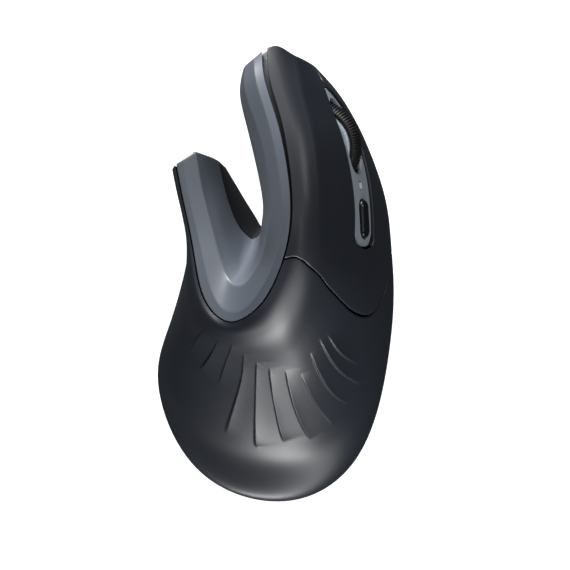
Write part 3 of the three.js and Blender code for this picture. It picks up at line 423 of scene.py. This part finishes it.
SHELL = moulded_plastic("shell_plastic", (0.016, 0.019, 0.026), 0.42)
DARK = moulded_plastic("dark_plastic", (0.012, 0.013, 0.016), 0.45)
INSERT = moulded_plastic("saddle_plastic", (0.11, 0.125, 0.15), 0.42)
SILVER = moulded_plastic("strip_plastic", (0.27, 0.31, 0.35), 0.35)
BRIGHT = moulded_plastic("hub_plastic", (0.55, 0.62, 0.68), 0.3)
BLACK = moulded_plastic("black_plastic", (0.006, 0.006, 0.008), 0.4)
GLOSS = moulded_plastic("key_plastic", (0.003, 0.004, 0.006), 0.3, grain=0.000004, coat=0.15)
RUBBER = moulded_plastic("tyre_rubber", (0.004, 0.004, 0.005), 0.5, grain=0.00003)
BOARD = moulded_plastic("board", (0.012, 0.10, 0.04), 0.35)
STEEL = moulded_plastic("plated_steel", (0.5, 0.52, 0.55), 0.3)
STEEL.node_tree.nodes["Principled BSDF"].inputs["Metallic"].default_value = 1
GLIDE = moulded_plastic("glide_pad", (0.02, 0.02, 0.022), 0.5)
LENS = moulded_plastic("lens_plastic", (0.75, 0.78, 0.8), 0.1)
CELL = moulded_plastic("cell_foil", (0.3, 0.32, 0.35), 0.35)
LAMP = moulded_plastic("lamp_window", (0.7, 0.76, 0.8), 0.3)

# ---------------------------------------------------------------- the palm shell's folds
# Drapery folds of the palm shell, in plan: a crest line from the front to the rear, its height and the side
# that falls gently (1 right, -1 left). The other side is a step.
FOLDS = [
    ([(-18.1, -13.6), (-20.0, -16.0), (-21.6, -18.9)], 0.34, 1),
    ([(-14.6, -16.1), (-16.9, -20.6), (-19.4, -23.6)], 0.61, 1),
    ([(-11.1, -17.1), (-12.8, -22.0), (-14.6, -27.1)], 0.47, 1),
    ([(-8.4, -19.6), (-8.6, -25.0), (-10.4, -31.6), (-13.1, -39.6)], 0.95, 1),
    ([(-5.1, -21.6), (-5.1, -28.6), (-5.4, -38.6), (-5.4, -43.1)], 0.95, 1),
    ([(-1.9, -23.1), (-0.9, -29.6), (0.6, -37.6), (1.6, -41.6)], 0.95, 1),
    ([(2.1, -23.6), (3.6, -30.1), (5.6, -36.1), (8.1, -41.1)], 0.85, 1),
    ([(6.1, -24.6), (9.1, -31.1), (14.1, -37.6)], 0.66, 1),
    ([(8.4, -19.1), (10.6, -24.6), (14.1, -29.6), (17.6, -31.9)], 0.85, 1),
    ([(10.6, -15.6), (13.1, -20.6), (16.6, -24.6), (21.1, -27.4)], 0.85, 1),
    ([(12.6, -14.6), (15.6, -19.1), (20.1, -22.1)], 0.66, 1),
]
FOLD_REACH = 4.2
FOLD_EDGE = 0.2


def crest(points):
    """Fine plan points along a fold's crest and the direction there."""
    values = np.array([(x, y, 0) for x, y in points], float)[:, None, :]
    t = np.linspace(0, len(points) - 1, 90)
    line = spline(values, bends(values), t)[:, 0, :2]
    along = np.gradient(line, axis=0)
    return line, along / np.linalg.norm(along, axis=1, keepdims=True)


def fold_relief(points):
    """Height in millimetres that the folds add at surface points."""
    total = np.zeros(len(points))
    for line, height, side in FOLDS:
        centre, along = crest(line)
        near = np.full(len(points), 1e9)
        index = np.zeros(len(points), int)
        for i, c in enumerate(centre):
            d = np.hypot(points[:, 0] - c[0], points[:, 1] - c[1])
            index[d < near] = i
            near = np.minimum(near, d)
        a = along[index]
        off = points[:, :2] - centre[index]
        across = (a[:, 0] * off[:, 1] - a[:, 1] * off[:, 0]) * side
        fade = np.sin(np.pi * index / (len(centre) - 1)) ** 0.8
        gentle = np.exp(-np.clip(across, 0, None) / FOLD_REACH * 1.6)
        steep = np.exp(-((np.clip(-across, 0, None) / FOLD_EDGE) ** 2))
        total += height * fade * np.where(across > 0, gentle, steep)
    return total


# ---------------------------------------------------------------- outer skins
def panel_domain(low_edge, high_edge):
    """Domain from the nose to the tongue seam, between two edges that depend on t."""

    def domain(u, v):
        s = low_edge(v * 5) + (high_edge(v * 5) - low_edge(v * 5)) * u
        for _ in range(12):
            t = v * (lookup(TONGUE_SEAM, s) - GAP)
            low, high = low_edge(t), high_edge(t)
            s = low + (high - low) * u
        return s, t

    return domain


def along_strip(v):
    """The roll beside the strip ends where the two halves of the panel meet behind it."""
    tip = STRIP_END_T + STRIP_ROUNDING
    return 1 - 0.996 * smoothstep(v * 6.55, tip - 0.04, tip + 0.03)


def fixed(value):
    return lambda t: np.full(np.shape(t), float(value))


def plain_domain(s0, s1, t0, t1):
    return lambda u, v: (s0 + (s1 - s0) * u, t0 + (t1 - t0) * v)


def palm_domain(u, v):
    s = 7 * u
    start = lookup(TONGUE_SEAM, s) + GAP
    return s, start + (LAST_RIB - start) * v


def strip_domain(u, v):
    end = STRIP_END_T + STRIP_ROUNDING * (1 - np.abs(2 * u - 1) ** 3) - GAP
    t = STRIP_FRONT_T + (end - STRIP_FRONT_T) * v
    low, high = lookup(STRIP_LEFT, t) + GAP, lookup(STRIP_RIGHT, t) - GAP
    return low + (high - low) * u, t


def below_panel(u):
    """No roll where the palm shell runs on into the skirt under the buttons."""
    return np.where(7 * u > PANEL_FOOT, 0.004, 1.0)


def cap_domain(t0, top, bottom, clearance, bulge, columns=60, rows=120):
    """Points of the cap that closes an open end of the horseshoe, between its two skins."""
    zs = np.linspace(top, bottom, rows)
    sides = []
    for surface, sign, first, last in ((inner, 1, 2, 6), (outer, -1, 2, 7)):
        params = np.linspace(first, last, 600)
        heights = surface(params, np.full(600, t0))[:, 2]
        param = np.interp(-zs, -heights, params)
        at = np.full(rows, t0)
        sides.append(surface(param, at) - normals(surface, param, at, sign) * clearance)
    across = np.linspace(0, 1, columns)[None, :, None]
    points = sides[0][:, None] * (1 - across) + sides[1][:, None] * across
    points[:, :, 1] += bulge * np.sin(np.pi * across[0, :, 0])[None, :]
    points[:, :, 2] = zs[:, None]
    return points


def end_cap(name, t0, top, bottom, clearance, bulge, material):
    points = cap_domain(t0, top, bottom, clearance, bulge)
    rows, columns = points.shape[:2]
    obj = mesh_object(name, points.reshape(-1, 3), grid_faces(rows, columns), material)
    thick = obj.modifiers.new("wall", "SOLIDIFY")
    thick.thickness = 1.4 * MM
    thick.offset = 0
    return obj


# ---------------------------------------------------------------- pieces of revolution and pads
def turned(name, profile, material, segments=160, radius_at=None):
    """Solid of revolution about x from (x, radius) pairs; radius_at(angle, x, r) may carve it."""
    xs, rs = np.array(profile, float).T
    angles = np.arange(segments) * 2 * math.pi / segments
    points = []
    for angle in angles:
        r = rs if radius_at is None else radius_at(angle, xs, rs)
        points.append(np.column_stack([xs, r * math.cos(angle), r * math.sin(angle)]))
    faces = grid_faces(segments, len(xs), around=True)
    return mesh_object(name, np.concatenate(points), faces, material)


def placed(obj, matrix):
    obj.data.transform(matrix)
    obj.data.update()
    return obj


def frame_matrix(across, ahead, out, origin):
    """Matrix of a frame on the finger face: x down the face, y forward along it, z out of it."""
    m = Matrix.Identity(4)
    for c, axis in enumerate((across, ahead, out)):
        m.col[c][:3] = axis
    m.col[3][:3] = Vector(origin) * MM
    return m


def face_frame(x, y, s, t, forward):
    """Frame on the outer skin above the plan point (x, y); s and t are a starting guess."""
    e = 1e-3
    for _ in range(40):
        p, ds, dt = (outer(np.array([a]), np.array([b]))[0] for a, b in ((s, t), (s + e, t), (s, t + e)))
        jacobian = np.column_stack([(ds - p)[:2], (dt - p)[:2]]) / e
        step = np.linalg.solve(jacobian, np.array([x, y]) - p[:2])
        s, t = np.array([s, t]) + np.clip(step, -0.4, 0.4)
    out = Vector(normals(outer, np.array([s]), np.array([t]), -1)[0])
    ahead = Vector(forward)
    ahead = (ahead - out * ahead.dot(out)).normalized()
    return frame_matrix(ahead.cross(out), ahead, out, p)


WHEEL_FRAME = face_frame(17.9, 35.5, 4.6, 2.5, (-0.39, 0.92, 0))
DPI_FRAME = face_frame(22.0, 14.1, 4.4, 4.4, (-0.06, 1, 0))
LED_FRAME = face_frame(21.2, 22.4, 4.4, 3.8, (-0.2, 1, 0))
WHEEL_CENTRE = Matrix.Translation((0, 0, -9.1 * MM))

RIBS = 96


def ribbed(angle, xs, rs):
    """Tread with rounded cross ribs that fade out towards the shoulders."""
    wave = 0.5 + 0.5 * math.cos(angle * RIBS)
    depth = 0.32 * (1 - wave**0.6)
    return rs - depth * np.clip(1.15 - (np.abs(xs) / 2.8) ** 4, 0, 1) * (rs > 10)


def tyre():
    crown = [(x, 11.5 - 1.15 * (abs(x) / 2.8) ** 2.6) for x in np.linspace(-2.8, 2.8, 29)]
    flank = [(2.8, 10.0), (2.72, 9.75), (2.5, 9.6)]
    profile = [*((-x, r) for x, r in reversed(flank)), *crown, *flank, (-2.5, 9.6)]
    return turned("scroll_tyre_fine", profile, RUBBER, RIBS * 8, ribbed)


def hub():
    half = [
        (0, 2.75), (1.0, 2.75), (1.2, 2.7), (2.4, 2.55), (2.9, 2.1), (3.3, 1.75), (4.2, 1.6),
        (6.6, 1.6), (7.4, 1.8), (8.0, 2.45), (8.3, 2.65), (8.9, 2.68), (9.2, 2.55), (9.35, 2.2),
    ]
    profile = [(-x, r) for r, x in half] + [(x, r) for r, x in reversed(half)]
    return turned("scroll_hub_fine", profile, BRIGHT, 120)


def capsule_ring(width, length, inset, count=24):
    """Outline of a round-ended bar, drawn in by inset."""
    r = width / 2 - inset
    half = length / 2 - width / 2
    a = np.linspace(0, math.pi, count)
    front = np.column_stack([r * np.cos(a), half + r * np.sin(a)])
    return np.vstack([front, -front])


def pad(name, width, length, levels, material):
    """Round-ended bar from (inset, z) levels, closed at the top and the bottom."""
    rings = [np.column_stack([capsule_ring(width, length, inset), np.full(48, z)]) for inset, z in levels]
    faces = []
    for k in range(len(rings) - 1):
        for i in range(48):
            j = (i + 1) % 48
            faces.append((k * 48 + i, k * 48 + j, (k + 1) * 48 + j, (k + 1) * 48 + i))
    faces.append(tuple(range(47, -1, -1)))
    faces.append(tuple((len(rings) - 1) * 48 + i for i in range(48)))
    return mesh_object(name, np.concatenate(rings), faces, material)


def dpi_key():
    angles = np.linspace(0, math.pi / 2 * 0.96, 9)
    dome = [(1.9 * (1 - math.cos(a)) * 0.55, -0.55 + 0.95 * math.sin(a)) for a in angles]
    return pad("dpi_key_fine", 3.8, 9.5, [(0, -1.4), *dome], GLOSS)


def cutter(name, width, y0, y1, z_low, flare):
    """Round-ended cutter for a window in the strip, flared outwards at the skin to leave a chamfered rim."""
    levels = [(0, z_low), (0, -STRIP_RECESS - 0.25), (-flare, -STRIP_RECESS + flare - 0.25), (-flare, 3.0)]
    obj = pad(name, width, y1 - y0, levels, BLACK)
    return placed(obj, Matrix.Translation((0, (y0 + y1) / 2 * MM, 0)))


def windowed(obj, cutters):
    """obj with the cutters taken out of it."""
    for tool in cutters:
        hole = obj.modifiers.new("window", "BOOLEAN")
        hole.operation = "DIFFERENCE"
        hole.solver = "EXACT"
        hole.object = tool
    bpy.context.view_layer.update()
    evaluated = obj.evaluated_get(bpy.context.evaluated_depsgraph_get())
    mesh = bpy.data.meshes.new_from_object(evaluated)
    obj.modifiers.clear()
    obj.data = mesh
    for tool in cutters:
        bpy.data.objects.remove(tool)
    return obj


def wheel_strip():
    recess = {"lift": -STRIP_RECESS, "solid": True}
    strip = moulding("wheel_strip_fine", outer, -1, strip_domain, counts(60, 240), SILVER, **recess)
    tools = [
        placed(cutter("slot_tool", 6.6, -10.5, 9.8, -9, 0.3), WHEEL_FRAME),
        placed(cutter("key_tool", 4.3, -5.0, 5.0, -7, 0.3), DPI_FRAME),
        placed(cutter("lamp_tool", 1.3, -1.1, 1.1, -5, 0.15), LED_FRAME),
    ]
    return windowed(strip, tools)


# ---------------------------------------------------------------- the assembly
DETAIL = 1


def counts(columns, rows):
    return int(columns * DETAIL), int(rows * DETAIL)


# Where the tongues of the finger panels would flex, and over how much of their length; nothing uses these to
# bend the panels.
LEFT_HINGE = (14.2, 17.2, 51.9)
RIGHT_HINGE = (25.8, 16.9, 23.5)


def stands_for(obj, body, *nodes):
    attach(obj, body)
    if nodes:
        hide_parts(*nodes)
    return obj


def outer_skins():
    palm_rolls = (1, 1, below_panel, 1)
    palm = moulding("palm_skin", outer, -1, palm_domain, counts(240, 620), SHELL, palm_rolls, fold_relief)
    stands_for(palm, "housing", "palm_shell")
    skirt_domain = plain_domain(PANEL_FOOT + GAP, 7, 0, 5.1)
    skirt = moulding("side_skirt_skin", outer, -1, skirt_domain, counts(12, 120), SHELL, (1, 1, 1, 0.004))
    stands_for(skirt, "housing")
    left_domain = panel_domain(fixed(0), left_edge)
    panel_rolls = (1, along_strip, 1, 1)
    left = moulding("left_panel_skin", outer, -1, left_domain, counts(120, 260), SHELL, panel_rolls)
    right_domain = panel_domain(fixed(PANEL_FOOT), right_edge)
    right = moulding("right_panel_skin", outer, -1, right_domain, counts(60, 260), SHELL, panel_rolls)
    for skin, button, hinge in ((left, "left_button", LEFT_HINGE), (right, "right_button", RIGHT_HINGE)):
        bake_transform(skin)
    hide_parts("left_button", "top_cover")
    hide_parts("right_button")
    stands_for(wheel_strip(), "housing", "wheel_strip")


def thumb_side():
    saddle_domain = plain_domain(0, SADDLE_LIP, 0, LAST_RIB)
    saddle = moulding("saddle_skin", inner, 1, saddle_domain, counts(220, 400), INSERT)
    stands_for(saddle, "housing", "thumb_saddle")
    wall_domain = plain_domain(SADDLE_LIP + 0.03, 5.995, 0, LAST_RIB)
    wall = moulding("thumb_wall_skin", inner, 1, wall_domain, counts(60, 300), DARK)
    stands_for(wall, "housing", "thumb_wall")
    stands_for(end_cap("wing_cap_fine", 14.85, 26.2, 3.0, 1.2, 0.4, DARK), "housing", "wing_cap")


def scroll_wheel():
    for piece, node in ((tyre(), "scroll_tyre"), (hub(), "scroll_hub")):
        stands_for(placed(piece, WHEEL_FRAME @ WHEEL_CENTRE), "scroll_wheel", node)
    stands_for(placed(dpi_key(), DPI_FRAME), "dpi_key", "dpi_button")


# Materials of the CAD nodes that are kept, by the start of the node's name.
CAD_MATERIALS = {
    "seam_trim": BLACK,
    "base_plate": DARK,
    "front_cap": DARK,
    "wheel_bracket": BLACK,
    "scroll_encoder": BLACK,
    "button_board": BOARD,
    "inner_frame": BLACK,
    "left_switch": BLACK,
    "right_switch": BLACK,
    "middle_switch": BLACK,
    "dpi_switch": BLACK,
    "status_lamp": LAMP,
    "main_board": BOARD,
    "motion_sensor": BLACK,
    "sensor_lens": LENS,
    "power_switch": BLACK,
    "power_slider": SILVER,
    "battery": CELL,
    "charge_board": BOARD,
    "usb_c_port": STEEL,
    "ribbon_cable": SILVER,
    "glide_foot": GLIDE,
    "base_screw": STEEL,
}


def finish_cad_nodes():
    """The nodes that are kept from the CAD get their finish and softened edges."""
    for name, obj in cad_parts.items():
        key = next((k for k in CAD_MATERIALS if name.startswith(k)), None)
        if key is None:
            continue
        obj.data.materials.clear()
        obj.data.materials.append(CAD_MATERIALS[key])
        edge = obj.modifiers.new("edges", "BEVEL")
        edge.width = 0.15 * MM
        edge.segments = 2
        edge.limit_method = "ANGLE"
        edge.angle_limit = math.radians(40)


outer_skins()
thumb_side()
scroll_wheel()
finish_cad_nodes()


# ---------------------------------------------------------------- studio
# Softboxes: azimuth clockwise from the front and elevation in degrees, width and height in metres, watts.
SOFTBOXES = [
    ("rear_low", 188, 6, (0.30, 0.13), 6),
    ("rear_softbox", 165, 24, (0.40, 0.35), 2.2),
    ("front_softbox", 345, 10, (0.4, 0.2), 13),
    ("right_softbox", 60, 38, (0.3, 0.3), 1.4),
    ("front_fill", 20, 46, (0.3, 0.3), 0.8),
    ("top_fill", 120, 70, (0.3, 0.3), 0.6),
]
LIGHT_DISTANCE = 0.8


def softbox(name, azimuth, elevation, size, power):
    """Area light at the same distance from the middle of the mouse as all the others, turned to it."""
    a, e = math.radians(azimuth), math.radians(elevation)
    middle = Vector((0, 0, 0.03))
    toward = Vector((math.sin(a) * math.cos(e), math.cos(a) * math.cos(e), math.sin(e)))
    data = bpy.data.lights.new(name, "AREA")
    data.shape = "RECTANGLE"
    data.size, data.size_y = size
    data.energy = power
    light = bpy.data.objects.new(name, data)
    bpy.context.collection.objects.link(light)
    light.location = middle + toward * LIGHT_DISTANCE
    light.rotation_euler = toward.to_track_quat("Z", "Y").to_euler()


def floor():
    bpy.ops.mesh.primitive_plane_add(size=6)
    plane = bpy.context.active_object
    plane.name = "floor"
    material = bpy.data.materials.new("pale_floor")
    material.use_nodes = True
    shader = material.node_tree.nodes["Principled BSDF"]
    shader.inputs["Base Color"].default_value = (0.9, 0.9, 0.9, 1)
    shader.inputs["Roughness"].default_value = 0.8
    shader.inputs["Emission Color"].default_value = (1, 1, 1, 1)
    shader.inputs["Emission Strength"].default_value = 0.75
    plane.data.materials.append(material)
    plane.visible_glossy = False
    plane.visible_diffuse = False


def studio():
    floor()
    world = bpy.data.worlds.new("studio")
    bpy.context.scene.world = world
    world.use_nodes = True
    world.node_tree.nodes["Background"].inputs["Color"].default_value = (0.86, 0.92, 1, 1)
    world.node_tree.nodes["Background"].inputs["Strength"].default_value = 0.04
    for name, azimuth, elevation, size, power in SOFTBOXES:
        softbox(name, azimuth, elevation, size, power)
    view = bpy.context.scene.view_settings
    view.view_transform = "Standard"


def camera():
    """Straight above, the mouse's front up in the picture."""
    height, width = 2.5, 0.1425
    data = bpy.data.cameras.new("camera")
    data.sensor_width = 36
    data.lens = 36 * (height - 0.03) / width
    data.clip_end = 20
    cam = bpy.data.objects.new("camera", data)
    bpy.context.collection.objects.link(cam)
    cam.location = (0.0019, -0.0024, height)
    cam.rotation_euler = (0, 0, 0)
    bpy.context.scene.camera = cam


studio()
camera()
